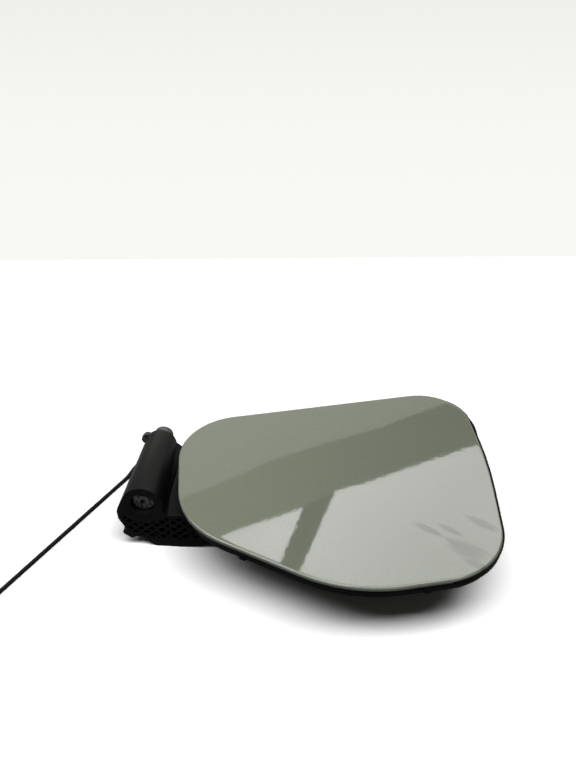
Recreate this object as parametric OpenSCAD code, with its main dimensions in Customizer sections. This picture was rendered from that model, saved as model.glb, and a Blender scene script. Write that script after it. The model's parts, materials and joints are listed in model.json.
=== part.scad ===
// Fuel filler flap: a painted cover on a moulded carrier, hung on a goose-neck hinge arm.
// The origin is the near end of the hinge pin, on its axis. X runs to the free end, Y along the
// pin and Z towards the painted face. The flap lies on the sole of its arm and on its lock hook.

/* [Cover] */
// Height of the painted face above the surface that the flap lies on
face_height = 45; // [44:0.5:46]
// Wall thickness of the painted cover
cover_wall = 1.2; // [1:0.1:1.3]
// Radius of the cover's rolled edge
edge_roll = 1.2; // [1:0.1:1.4]
// Depth of the cover's side, from the face down to its lower edge
cover_depth = 3.2; // [3:0.1:3.6]
// Rise of the slightly domed face between its edge and its middle
crown = 0.8; // [0.4:0.2:1]

/* [Carrier] */
// Thickness of the carrier's tray
tray_wall = 2.2; // [2:0.1:2.4]
// Visible depth of the carrier's lip at the hinge end
lip_left = 2; // [1.5:0.5:2.5]
// Visible depth of the carrier's lip at the free end
lip_right = 3.5; // [3:0.5:4.5]
// Spacing of the ribs under the tray
rib_pitch = 26; // [24:1:30]

/* [Hinge arm] */
// Height of the hinge axis above the surface that the flap lies on
axis_height = 32.5; // [32:0.5:33]
// Radius of the barrel at its near end
barrel_near_r = 11.7; // [11.5:0.1:12]
// Radius of the barrel at its far end
barrel_far_r = 9.2; // [9:0.1:9.6]
// Distance along the axis from the near end of the pin to the far face of the arm
arm_far = 55; // [54:0.5:56]
// Distance that the near face of the arm stands in front of the pin's end
arm_near = 2; // [1.5:0.5:2.5]
// Width of one diamond of the lattice
lattice_w = 6.4; // [6:0.2:7]
// Height of one diamond of the lattice
lattice_h = 5.4; // [5:0.2:6]
// Thickness of the lattice ribs
lattice_rib = 1.1; // [0.9:0.1:1.3]

/* [Hinge pin and spring] */
// Radius of the hinge pin
pin_r = 4.4; // [4.3:0.1:4.5]
// Running clearance between the pin and its bushes
pin_gap = 0.05; // [0.03:0.01:0.08]
// Radius of the spring wire
wire_r = 0.8; // [0.7:0.1:0.9]
// Number of turns of the torsion spring
spring_turns = 9; // [7:1:10]

/* [Lock hook] */
// Distance of the lock hook from the hinge axis
hook_x = 165; // [160:1:168]
// Place of the lock hook along the hinge axis
hook_y = 14; // [10:1:18]
// Clear width of the hook's window
hook_gap = 12; // [11:0.5:13]

/* [Tether] */
// Diameter of the tether cord
cord_d = 2.4; // [2.2:0.1:2.6]
// Inner radius of the ring that sits round the cap's neck
ring_r = 10; // [9:0.5:11]

/* [Hidden] */

smooth = 96;
hood_facets = 48;
eps = 0.01;
fit_gap = 0.05;

// Heights, measured from the hinge axis
floor_z = -axis_height;
face_z = face_height - axis_height;
cover_low = face_z - cover_depth;
tray_top = face_z - crown - cover_wall - 2.3;
tray_low = tray_top - tray_wall;

// Corners of the cover's outline, counter-clockwise, as centre and radius
CORNERS = [
    [[161, 66], 34.5],
    [[54, 32.5], 38],
    [[70.5, 7.5], 50],
    [[125.5, 16.5], 81],
    [[159.5, -18.5], 39]
];
corner_step = 7;

// Direction of the outward normal on the straight run from one corner to the next
function run_normal(a, b) =
    let (d = b[0] - a[0])
    atan2(d[1], d[0]) - acos((a[1] - b[1]) / norm(d));

function after(angle, start) = angle < start ? after(angle + 360, start) : angle;

function arc(centre, r, from, to, steps) = [
    for (i = [0 : steps])
        let (a = from + (to - from) * i / steps)
        centre + r * [cos(a), sin(a)]
];

// The cover's outline, moved inwards by inset
function outline(inset) = [
    for (i = [0 : len(CORNERS) - 1])
        let (
            here = CORNERS[i],
            last = CORNERS[(i + len(CORNERS) - 1) % len(CORNERS)],
            next = CORNERS[(i + 1) % len(CORNERS)],
            from = run_normal(last, here),
            to = after(run_normal(here, next), from),
            steps = ceil((to - from) / corner_step)
        )
        each arc(here[0], here[1] - inset, from, to, steps)
];

module slab(inset, low, high) {
    translate([0, 0, low]) linear_extrude(high - low) polygon(outline(inset));
}

// Extrudes a profile drawn in X and Z along the hinge axis
module along_y(near, far) {
    translate([0, far, 0]) rotate([90, 0, 0]) linear_extrude(far - near) children();
}

// A round bar on the hinge axis, or on a line beside it
module bar_y(r, near, far, x = 0, z = 0) {
    translate([x, near, z]) rotate([-90, 0, 0]) cylinder(h = far - near, r = r, $fn = smooth);
}

// Upright cylinders of one size at several places
module uprights(places, r, low, high) {
    for (p = places)
        translate([p[0], p[1], low]) cylinder(h = high - low, r = r, $fn = smooth);
}

// A box given by its low and high corners
module block(low, high) {
    translate(low) cube(high - low);
}

// Screw with a pan head at its lower end, pointing up
module pan_screw(shank_r, head_r, head_h, length) {
    translate([0, 0, -head_h]) cylinder(h = head_h, r1 = head_r * 0.8, r2 = head_r, $fn = smooth);
    cylinder(h = length, r = shank_r, $fn = smooth);
}

/* Cover */

roll_steps = 6;
crown_centre = [112, 14];
CROWN_SHARES = [0.9, 0.75, 0.55, 0.3];

// One ring of the cover at a height, drawn in towards the face's middle by share
function ring(inset, z, share = 1) = [
    for (p = outline(inset))
        let (q = crown_centre + share * (p - crown_centre))
        [q[0], q[1], z]
];

// Rings up the side, round the rolled edge and over the crown
function cover_rings(inset, top, low) = concat(
    [ring(inset, low)],
    [
        for (i = [0 : roll_steps])
            let (a = 90 * i / roll_steps)
            ring(inset + edge_roll * (1 - cos(a)), top - crown - edge_roll * (1 - sin(a)))
    ],
    [for (share = CROWN_SHARES) ring(inset + edge_roll, top - crown * pow(share, 2), share)]
);

function reversed(list) = [for (i = [len(list) - 1 : -1 : 0]) list[i]];

// A closed skin through rings of equal length, from the cap of the first to the cap of the last
module ring_skin(rings) {
    n = len(rings[0]);
    last = len(rings) - 1;
    walls = [
        for (i = [0 : last - 1], k = [0 : n - 1])
            let (next = (k + 1) % n, a = i * n, b = a + n)
            [a + k, b + k, b + next, a + next]
    ];
    first_cap = [for (k = [0 : n - 1]) k];
    last_cap = [for (k = [n - 1 : -1 : 0]) last * n + k];
    polyhedron([for (r = rings) each r], concat(walls, [first_cap], [last_cap]));
}

module cover_skin() {
    color("#9DA18F")
        difference() {
            ring_skin(cover_rings(0, face_z, cover_low));
            ring_skin(cover_rings(cover_wall, face_z - cover_wall, cover_low - 1));
        }
}

/* Carrier */

wall_inset = 2.6;
lip_inset = 0.5;
skirt_wall = 1.8;
rib_wall = 1.4;
first_rib = 44;
rib_depth = 4;
free_x = 198.5;
hinge_x = 16;
tab_size = [3.4, 1.8, 3.4];
tab_drop = 1.2;
// Snap tabs on the lip, as place and direction of the edge
TABS = [
    [[62.3, -43.2], -24.5],
    [[156.2, -58.9], 13.6],
    [[121.5, 90.3], 15.6],
    [[63.7, 74.1], 15.6],
    [[197, 10], 92]
];
ARM_SCREWS = [[62, 8], [62, 44], [77, 8], [77, 44]];
arm_screw_r = 1.9;
plate_low = [52, 2];
plate_high = [84, 50];
plate_wall = 1;
HOOK_SCREWS = [[hook_x - 13, hook_y], [hook_x + 13, hook_y]];
hook_base = [36, 24, 3];
STOPS = [[178, -34], [176, 66]];
stop_stem_r = 2.5;
stop_land_r = 7;
holder_place = [108, 34];
holder_base = [36, 16, 2.5];
holder_screw_r = 1.8;
// Foam pads, as corner and size
PADS = [[92, -30, 40, 10], [110, 62, 44, 10], [140, -8, 10, 30], [27, 12, 8, 26]];

module lip_cut() {
    run = free_x - hinge_x;
    tilt = atan((lip_right - lip_left) / run);
    translate([hinge_x, -100, cover_low - lip_left])
        rotate([0, tilt, 0])
            translate([-60, 0, -30]) cube([300, 240, 30]);
}

module tray_ribs() {
    intersection() {
        slab(wall_inset + 1, tray_low - rib_depth, tray_low + 0.5);
        union() {
            for (x = [first_rib : rib_pitch : free_x])
                block([x, -80, tray_low - rib_depth], [x + rib_wall, 100, tray_low + 0.5]);
            for (y = [-2 * rib_pitch - 7 : rib_pitch : 90])
                block([0, y, tray_low - rib_depth], [200, y + rib_wall, tray_low + 0.5]);
        }
    }
}

// Flat lands without ribs, where the arm, the hook, the cap holder and the stops sit
module lands() {
    block([20, -12, tray_low - 20], [plate_high[0] + 4, 60, tray_low]);
    translate([hook_x, hook_y, tray_low - 10]) cube([hook_base[0] + 2, hook_base[1] + 2, 20], center = true);
    translate([holder_place[0], holder_place[1], tray_low - 10])
        cube([holder_base[0] + 2, holder_base[1] + 2, 20], center = true);
    uprights(STOPS, stop_land_r, tray_low - 20, tray_low);
}

module inner_carrier() {
    color("#1B1C1F")
        difference() {
            union() {
                slab(wall_inset, tray_low, tray_top);
                difference() {
                    tray_ribs();
                    lands();
                }
                difference() {
                    slab(wall_inset, tray_low - rib_depth, tray_top);
                    slab(wall_inset + skirt_wall, tray_low - rib_depth - 1, tray_top + 1);
                }
                difference() {
                    slab(lip_inset, cover_low - lip_right - 1, cover_low);
                    slab(wall_inset + skirt_wall / 2, cover_low - lip_right - 2, cover_low + 1);
                    lip_cut();
                }
                for (t = TABS)
                    translate([t[0][0], t[0][1], cover_low - lip_left - tab_drop])
                        rotate([0, 0, t[1]]) cube(tab_size, center = true);
            }
            uprights(concat(ARM_SCREWS, HOOK_SCREWS), arm_screw_r + fit_gap, tray_low - 1, tray_top + 1);
            uprights(STOPS, stop_stem_r, tray_low - 1, tray_top + 1);
            uprights([holder_place], holder_screw_r + fit_gap, tray_low - 1, tray_top + 1);
        }
}

module foam_pads() {
    color("#3A3B3E")
        for (p = PADS)
            translate([p[0], p[1], tray_top]) cube([p[2], p[3], face_z - crown - cover_wall - tray_top]);
}

module backing_plate() {
    color("#8C8F93")
        difference() {
            block([each plate_low, tray_top], [each plate_high, tray_top + plate_wall]);
            uprights(ARM_SCREWS, arm_screw_r + fit_gap, tray_top - 1, tray_top + plate_wall + 1);
        }
}

module arm_screws() {
    color("#6E7175")
        for (p = ARM_SCREWS)
            translate([p[0], p[1], tray_low - pad_wall])
                pan_screw(arm_screw_r, 3.9, 2.6, pad_wall + tray_wall + plate_wall);
}

/* Hinge arm */

neck_top = -8;
neck_rise = 4.1;
pad_wall = 4;
heel_z = -25.5;
heel_left = -8.6;
sole_r = 9.5;
sole_left = 8;
sole_right = 20;
belly_r = 46;
belly_wall = 6;
recess_r = 6.9;
recess_end = 3.1;
bush_r = 6.4;
chamber_r = 8.2;
chamber_near = 8.2;
chamber_far = 49.4;
notch_low = chamber_r + 2;
lattice_depth = (arm_far + arm_near) / 2 - 1.2;
lattice_rim_depth = 5;
lattice_left = -8.6;
lattice_left_far = -6.4;
lattice_wall = 1.5;
lattice_barrel_r = 14.2;
anchor_x = 0;
anchor_z = -20;
anchor_hole_r = 2.4;
anchor_boss_r = 5.6;
side_boss = [9.6, -19.8];
side_boss_r = 3.2;
side_hole_r = 2;
side_hole_end = 10;
WEBS = [14, 25.5];
web_wall = 1.2;
well_r = 4.4;
well_depth = 16;
hood_low_left = -10.5;

// Side of the neck and of its screwing pad, from the heel over the sole up to the tray
NECK = concat(
    [[-6, heel_z], [-3, heel_z]],
    arc([sole_left, floor_z + sole_r], sole_r, -135, -90, 5),
    arc([sole_right, floor_z + belly_r], belly_r, -90, -20, 10),
    [[66, tray_low - pad_wall], [84, tray_low - pad_wall], [84, tray_low]],
    arc([48, tray_low - 8], 8, 90, 150, 5),
    arc([26.6, neck_top + 12], 12, -30, -90, 5),
    arc([15.5, neck_top + 5], 5, -90, -180, 5),
    [[4, neck_top + 5]]
);

// Left flank of the hood, from the barrel's side over a bulge down to the heel
function flank(r, bulge) = [
    [-r * 0.98, 2.2], [-r - bulge * 0.8, -3.7], [-r - bulge, -6.8], [-r - bulge * 0.9, -11.9],
    [heel_left - bulge * 0.75, -19.2], [heel_left, heel_z]
];
near_bulge = 3.9;
far_bulge = 3.4;

// Stop tab at the heel's left corner
STOP_TAB = [
    [-6, heel_z], [-6, heel_z + 6], [-11, heel_z + 5.4], [-13.7, heel_z + 3], [-13.2, heel_z + 1.6],
    [-9.2, heel_z - 1.5], [-8.2, heel_z - 1.3]
];
stop_tab_end = 8;

// Filling between the neck and the barrel, which rises to the far end: its top as drawn at both ends
NEAR_FILL = [[4, -14], [4, neck_top - 0.1], [30, neck_top - 0.1], [30, -14]];
FAR_FILL = [[4, -14], [4, neck_top + neck_rise], [37, neck_top + neck_rise], [37, -14]];
NEAR_FILLET = [[4, -10], [4, -3.3], [10.4, -3.3], [12, -6.5], [12, -10]];
FAR_FILLET = [[4, -10], [4, 1.3], [7.9, 0.9], [9.9, -0.8], [13.6, neck_top + neck_rise], [13.6, -10]];

// Outline of the lattice, which keeps a border round it
LATTICE = concat(
    [[-10, -19], [-7.4, heel_z + 1.6], [-2.5, heel_z + 1.2], [3, floor_z + belly_wall]],
    arc([sole_right, floor_z + belly_r], belly_r - belly_wall, -90, -26, 8),
    [[50, tray_low - 7], [44.5, tray_low - 5]],
    arc([26.6, neck_top + 12], 12 + lattice_wall, -30, -90, 5),
    [[12, neck_top - lattice_wall], [-10.5, -9.5], [-13.3, -12.3]]
);

module hood_section(r, bulge, y) {
    along_y(y, y + eps) {
        circle(r = r, $fn = hood_facets);
        polygon(concat(flank(r, bulge), [[10, heel_z], [10.5, -5], [6, 3]]));
    }
}

// A body between a profile at the near face and one at the far face
module near_to_far(near_profile, far_profile) {
    hull() {
        along_y(-arm_near, -arm_near + eps) polygon(near_profile);
        along_y(arm_far - eps, arm_far) polygon(far_profile);
    }
}

module diamond(x, z) {
    w = (lattice_w - lattice_rib * 1.5) / 2;
    h = (lattice_h - lattice_rib * 1.3) / 2;
    translate([x, z]) polygon([[w, 0], [0, h], [-w, 0], [0, -h]]);
}

// Pockets of the lattice to the right of a limit, because the hood narrows towards its far end
module lattice_pockets(left) {
    rows = 5;
    columns = ceil(64 / lattice_w);
    intersection() {
        polygon(LATTICE);
        translate([left, floor_z]) square([100, -floor_z]);
        for (row = [0 : 2 * rows], column = [0 : columns])
            diamond(-12 + lattice_w * (column + (row % 2) / 2), heel_z - 1.5 + lattice_h / 2 * row);
    }
}

module lattice_cuts() {
    difference() {
        union() {
            along_y(-arm_near - 1, -arm_near + lattice_rim_depth) lattice_pockets(hood_low_left * 2);
            along_y(-arm_near - 1, -arm_near + lattice_depth) lattice_pockets(lattice_left);
            along_y(arm_far - lattice_depth, arm_far + 1) lattice_pockets(lattice_left_far);
        }
        bar_y(lattice_barrel_r, -arm_near - 2, arm_far + 2);
        bar_y(anchor_boss_r, arm_far - lattice_depth - 1, arm_far + 2, anchor_x, anchor_z);
        bar_y(side_boss_r, -arm_near - 2, lattice_depth, side_boss[0], side_boss[1]);
        for (x = WEBS)
            block([x, -arm_near - 2, floor_z], [x + web_wall, arm_far + 2, neck_top - lattice_wall]);
    }
}

module hinge_arm() {
    color("#232427")
        difference() {
            union() {
                hull() {
                    hood_section(barrel_near_r, near_bulge, -arm_near);
                    hood_section(barrel_far_r, far_bulge, arm_far - eps);
                }
                along_y(-arm_near, arm_far) polygon(NECK);
                near_to_far(NEAR_FILL, FAR_FILL);
                near_to_far(NEAR_FILLET, FAR_FILLET);
                along_y(-arm_near, stop_tab_end) polygon(STOP_TAB);
            }
            lattice_cuts();
            bar_y(side_hole_r, -arm_near - 1, side_hole_end, side_boss[0], side_boss[1]);
            bar_y(recess_r, -arm_near - 1, recess_end);
            bar_y(bush_r, 0, arm_far + 1);
            bar_y(chamber_r, chamber_near, chamber_far);
            block([-1.2, chamber_near, -notch_low], [1.2, chamber_near + 3, 0]);
            bar_y(anchor_hole_r, arm_far - 7, arm_far + 1, anchor_x, anchor_z);
            uprights(ARM_SCREWS, arm_screw_r + fit_gap, tray_low - pad_wall - 1, tray_low + 1);
            uprights(ARM_SCREWS, well_r, tray_low - pad_wall - well_depth, tray_low - pad_wall);
        }
}

/* Hinge pin, bushes and spring */

clip_near = 0.8;
clip_wall = 0.8;
clip_groove_r = 3.7;
clip_r = 6.2;
near_flange_r = 6.8;
far_flange_r = 7.8;
near_flange = 1.9;
far_flange = 1;
lever_near = arm_far + far_flange + 0.2;
lever_far = lever_near + 2.4;
head_r = 6.2;
head_far = lever_far + 2.1;
journal_r = 5.8;
journal_far = head_far + 2.4;
socket_r = 1.6;
socket_depth = 8;
slot_y = 46.4;
knob_x = -9.6;
knob_r = 3;
lobe_r = 3.6;
lever_hub_r = head_r + 0.7;
spacer_r = 5.7;
coil_r = 6.9;
coil_near = 10;
coil_sides = 8;
coil_steps = 14;

module bush(near, far, flange_r, flange_near, flange_far) {
    difference() {
        union() {
            bar_y(bush_r - 0.02, near, far);
            bar_y(flange_r, flange_near, flange_far);
        }
        bar_y(pin_r + pin_gap, near - 5, far + 5);
    }
}

module near_bush() {
    color("#4A4C50") bush(near_flange, chamber_near - 0.1, near_flange_r, near_flange, recess_end);
}

module far_bush() {
    far = arm_far + far_flange;
    color("#4A4C50") bush(chamber_far + 0.1, far, far_flange_r, arm_far, far);
}

module spring_spacer() {
    color("#D8D6CC")
        difference() {
            bar_y(spacer_r, chamber_near + 0.2, slot_y - 1.6);
            bar_y(pin_r, chamber_near - 1, slot_y);
        }
}

// A closed tube of round rings that stand square to the path
module swept_tube(path, r, sides) {
    last = len(path) - 1;
    function heading(i) =
        let (d = path[min(i + 1, last)] - path[max(i - 1, 0)])
        d / norm(d);
    function across(i) =
        let (up = abs(heading(i)[2]) > 0.9 ? [1, 0, 0] : [0, 0, 1], c = cross(heading(i), up))
        c / norm(c);
    points = [
        for (i = [0 : last], k = [0 : sides - 1])
            let (a = 360 * k / sides, u = across(i), v = cross(u, heading(i)))
            path[i] + r * (cos(a) * u + sin(a) * v)
    ];
    walls = [
        for (i = [0 : last - 1], k = [0 : sides - 1])
            let (n = (k + 1) % sides, a = i * sides, b = a + sides)
            [a + k, a + n, b + n, b + k]
    ];
    near_cap = [for (k = [sides - 1 : -1 : 0]) k];
    far_cap = [for (k = [0 : sides - 1]) last * sides + k];
    polyhedron(points, concat(walls, [near_cap], [far_cap]));
}

coil_length = slot_y - coil_near;
coil_path = concat(
    [[0, coil_near - 0.4, -notch_low], [0, coil_near - 0.2, -coil_r - 0.6]],
    [
        for (i = [1 : spring_turns * coil_steps])
            let (share = i / (spring_turns * coil_steps), a = -90 - 360 * spring_turns * share)
            [coil_r * cos(a), coil_near + coil_length * share, coil_r * sin(a)]
    ],
    [[0, slot_y + 0.3, -coil_r + 1.6], [0, slot_y + 0.4, -2.6]]
);

module torsion_spring() {
    color("#A9ACB0") swept_tube(coil_path, wire_r, coil_sides);
}

module hinge_pin() {
    color("#77797D")
        difference() {
            union() {
                bar_y(pin_r, 0, clip_near);
                bar_y(clip_groove_r, clip_near - 0.1, clip_near + clip_wall + 0.1);
                bar_y(pin_r, clip_near + clip_wall, head_far);
                bar_y(head_r, lever_far, head_far);
                bar_y(journal_r, head_far, journal_far);
            }
            bar_y(socket_r, -1, socket_depth);
            block([-1, slot_y - 0.8, -pin_r - 1], [1, slot_y + 1.6, -1.4]);
        }
}

module pin_clip() {
    color("#9A9DA1")
        difference() {
            bar_y(clip_r, clip_near, clip_near + clip_wall);
            bar_y(clip_groove_r + fit_gap, 0, 3);
            for (a = [30, 150, 270])
                rotate([0, a, 0]) block([clip_groove_r - 1, 0, -0.7], [clip_groove_r + 1.6, 3, 0.7]);
        }
}

module anchor_lever() {
    color("#303236")
        difference() {
            union() {
                bar_y(lever_hub_r, lever_near, lever_far);
                bar_y(lobe_r, lever_near, lever_far, knob_x);
                block([knob_x, lever_near, -lobe_r], [0, lever_far, lobe_r]);
                bar_y(knob_r, lever_far, head_far - 0.1, knob_x);
            }
            bar_y(pin_r + fit_gap, lever_near - 1, lever_far + 1);
        }
}

/* Lock hook and buffers */

cheek_wall = 4;
cheek_top = 9;
cheek_low_r = 5;
cross_z = floor_z + cheek_low_r;
cross_r = 2.2;

module cheek(y) {
    along_y(y, y + cheek_wall) {
        polygon([
            [hook_x - cheek_top, tray_low - hook_base[2]], [hook_x - cheek_low_r, cross_z],
            [hook_x + cheek_low_r, cross_z], [hook_x + cheek_top, tray_low - hook_base[2]]
        ]);
        translate([hook_x, cross_z]) circle(r = cheek_low_r, $fn = smooth);
    }
}

module lock_striker() {
    base_top = tray_low;
    color("#26272A")
        difference() {
            union() {
                block(
                    [hook_x - hook_base[0] / 2, hook_y - hook_base[1] / 2, base_top - hook_base[2]],
                    [hook_x + hook_base[0] / 2, hook_y + hook_base[1] / 2, base_top]
                );
                for (side = [-hook_gap / 2 - cheek_wall, hook_gap / 2])
                    cheek(hook_y + side);
                for (x = [hook_x - 8, hook_x + 7])
                    block(
                        [x, hook_y - hook_gap / 2 - 1, base_top - hook_base[2] - 5],
                        [x + 1.4, hook_y + hook_gap / 2 + 1, base_top - 1]
                    );
            }
            bar_y(cross_r, hook_y - 20, hook_y + 20, hook_x, cross_z);
            uprights(HOOK_SCREWS, arm_screw_r + fit_gap, base_top - 9, base_top + 1);
        }
}

module striker_pin() {
    half = hook_gap / 2 + cheek_wall;
    color("#B4B6B9")
        bar_y(cross_r, hook_y - half, hook_y + half, hook_x, cross_z);
}

module striker_screws() {
    color("#6E7175")
        for (p = HOOK_SCREWS)
            translate([p[0], p[1], tray_low - hook_base[2]])
                pan_screw(arm_screw_r, 3.6, 2.2, hook_base[2] + tray_wall + 0.6);
}

module bump_stops() {
    color("#121214")
        for (p = STOPS)
            translate([p[0], p[1], tray_low]) rotate_extrude($fn = smooth)
                polygon([
                    [0, -11], [3, -10.6], [5, -9], [6, -6.5], [6, 0], [stop_stem_r, 0],
                    [stop_stem_r, tray_wall], [3.4, tray_wall], [1.6, tray_wall + 1.2], [0, tray_wall + 1.2]
                ]);
}

/* Cap holder */

finger_low = -16;
finger_wall = 2.2;

module finger(side) {
    inner = side * (holder_base[0] / 2 - finger_wall);
    translate([holder_place[0], 0, tray_low - holder_base[2]])
        along_y(holder_place[1] - holder_base[1] / 2, holder_place[1] + holder_base[1] / 2)
            polygon([
                [inner, 0.5], [inner + side * finger_wall, 0.5],
                [inner + side * finger_wall, finger_low + 2], [inner + side * 0.4, finger_low],
                [inner - side * 2.4, finger_low], [inner - side * 3.4, finger_low + 2],
                [inner - side * 1.6, finger_low + 4.2], [inner, finger_low + 5.4]
            ]);
}

module cap_holder() {
    low = [each holder_place - [holder_base[0], holder_base[1]] / 2, tray_low - holder_base[2]];
    color("#2A2B2E")
        difference() {
            union() {
                block(low, low + holder_base);
                finger(-1);
                finger(1);
            }
            uprights([holder_place], holder_screw_r + fit_gap, low[2] - 1, tray_low + 1);
        }
}

module cap_holder_screw() {
    color("#6E7175")
        translate([holder_place[0], holder_place[1], tray_low - holder_base[2]])
            pan_screw(holder_screw_r, 3.4, 2, holder_base[2] + tray_wall + 0.6);
}

/* Tether */

boot_y = 60;
boot_x = -10.6;
boot_r = 3.2;
flange_wall = 1.4;
ferrule_r = 2.2;
ferrule_x = -87;
ferrule_near = -93;
ferrule_far = -83.8;
ferrule_z = floor_z + ferrule_r;
ring_wall = 3;
ring_high = 3.2;
ring_y = ferrule_near - ring_r - ring_wall;

module tether_anchor() {
    color("#1A1A1C") {
        bar_y(anchor_hole_r - 0.02, arm_far - 6, arm_far + 0.1, anchor_x, anchor_z);
        bar_y(4.6, arm_far, arm_far + flange_wall, anchor_x, anchor_z);
        bar_y(boot_r, arm_far + flange_wall - 0.1, boot_y, anchor_x, anchor_z);
        translate([anchor_x, boot_y, anchor_z]) sphere(r = boot_r, $fn = smooth);
        translate([anchor_x, boot_y, anchor_z]) rotate([0, -90, 0])
            cylinder(h = -boot_x, r1 = boot_r, r2 = cord_d / 2 + 0.4, $fn = smooth);
    }
}

// Route of the cord: out of the boot, down to the surface, straight on, then round to the ferrule
cord_z = floor_z + cord_d / 2;
straight_start = [-26.6, 52.9];
straight_step = [-2.8, -5.7];
straight_count = 17;
CORD = concat(
    [
        [boot_x, boot_y, anchor_z], [-13.4, 60, -20.5], [-16.2, 59.9, -21.9], [-18.8, 59.6, -24],
        [-21.2, 58.8, -26.5], [-23.4, 57.3, -29], [-25.1, 55.4, cord_z + 0.6]
    ],
    [for (i = [0 : straight_count]) [each straight_start + i * straight_step, cord_z]],
    [
        [-76.9, -49.8, cord_z], [-79.5, -55.8, cord_z], [-81.9, -62.1, cord_z], [-84, -68.7, cord_z],
        [-85.8, -75.9, cord_z + 0.5], [ferrule_x, ferrule_far + 0.2, ferrule_z]
    ]
);

module tether_cord() {
    color("#0E0E10") swept_tube(CORD, cord_d / 2, 8);
}

module tether_ferrule() {
    color("#2B2C2F") bar_y(ferrule_r, ferrule_near, ferrule_far, ferrule_x, ferrule_z);
}

module tether_ring() {
    color("#18181A")
        difference() {
            union() {
                translate([ferrule_x, ring_y, floor_z])
                    cylinder(h = ring_high, r = ring_r + ring_wall, $fn = smooth);
                block(
                    [ferrule_x - 2.6, ring_y + ring_r + 1, floor_z],
                    [ferrule_x + 2.6, ferrule_near, floor_z + 2 * ferrule_r]
                );
            }
            translate([ferrule_x, ring_y, floor_z - 1])
                cylinder(h = ring_high + 5, r = ring_r, $fn = smooth);
        }
}

cover_skin();
inner_carrier();
foam_pads();
backing_plate();
arm_screws();
hinge_arm();
near_bush();
far_bush();
spring_spacer();
torsion_spring();
hinge_pin();
pin_clip();
anchor_lever();
lock_striker();
striker_pin();
striker_screws();
bump_stops();
cap_holder();
cap_holder_screw();
tether_anchor();
tether_cord();
tether_ferrule();
tether_ring();
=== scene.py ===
"""Looks of a car's fuel filler flap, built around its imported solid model.

The painted cover, the screws, the spring, the tether and the rubber buffers are modelled here. The
other parts are copies of their solids with softened edges. Everything is in metres, in the frame
of the hinge pin: X runs to the flap's free end, Y along the pin and Z towards the painted face.
"""

import json
import logging
import math
from collections.abc import Callable, Iterable
from dataclasses import dataclass, field
from enum import Enum

import bmesh
import bpy
from mathutils import Matrix, Vector

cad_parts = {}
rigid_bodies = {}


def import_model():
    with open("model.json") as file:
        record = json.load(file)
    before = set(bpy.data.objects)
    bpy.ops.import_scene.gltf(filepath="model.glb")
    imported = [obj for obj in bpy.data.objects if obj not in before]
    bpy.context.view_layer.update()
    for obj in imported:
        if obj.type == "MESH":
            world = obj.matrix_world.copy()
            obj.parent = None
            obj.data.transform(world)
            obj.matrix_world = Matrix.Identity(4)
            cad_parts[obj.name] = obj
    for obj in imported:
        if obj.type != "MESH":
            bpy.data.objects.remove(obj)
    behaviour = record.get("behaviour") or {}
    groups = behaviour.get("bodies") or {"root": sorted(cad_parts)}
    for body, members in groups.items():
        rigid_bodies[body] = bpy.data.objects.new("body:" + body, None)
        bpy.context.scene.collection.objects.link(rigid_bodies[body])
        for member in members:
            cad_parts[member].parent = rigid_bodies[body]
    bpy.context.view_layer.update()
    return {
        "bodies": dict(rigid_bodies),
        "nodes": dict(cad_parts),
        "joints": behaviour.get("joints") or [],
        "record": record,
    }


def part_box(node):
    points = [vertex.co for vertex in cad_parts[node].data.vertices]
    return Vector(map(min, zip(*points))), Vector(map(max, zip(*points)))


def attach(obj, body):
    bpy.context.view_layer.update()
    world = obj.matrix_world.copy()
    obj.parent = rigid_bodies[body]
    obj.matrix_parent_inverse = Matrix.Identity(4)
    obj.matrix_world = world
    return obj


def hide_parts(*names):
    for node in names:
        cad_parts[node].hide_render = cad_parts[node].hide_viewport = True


MM = 0.001
# Corners this close are one, in a solid's mesh and in a turned one
WELD = 0.002 * MM
FINE_WELD = 0.001 * MM
# Corners within this of a level lie on it
LEVEL_GAP = 0.01 * MM
# Faces that meet at less than FLAT are one, and edges sharper than SHARP are rounded
FLAT = math.radians(0.4)
SHARP = math.radians(32.0)
BEVEL = {"offset_type": "OFFSET", "profile": 0.5, "affect": "EDGES", "clamp_overlap": True,
         "material": -1}
log = logging.getLogger("filler_flap")

Colour = Triple = tuple[float, float, float]
Pair = tuple[float, float]
Socket = bpy.types.NodeSocket
Node = bpy.types.Node
Tree = bpy.types.NodeTree
Material = bpy.types.Material
Object = bpy.types.Object
BMesh = bmesh.types.BMesh
Vert = bmesh.types.BMVert
Edge = bmesh.types.BMEdge


class Body(Enum):
    """The two bodies that pieces ride on."""

    FLAP = "flap"
    PIN = "pin"


class Slot(Enum):
    """Material slots of the record."""

    PAINT = "paint"
    BLACK = "black_plastic"
    ARM = "arm_plastic"
    BUSH = "bush_plastic"
    SPACER = "spacer_plastic"
    FOAM = "foam"
    RUBBER = "rubber"
    ZINC = "zinc_steel"
    PIN = "pin_steel"
    SPRING = "spring_steel"
    CORD = "cord"


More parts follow.
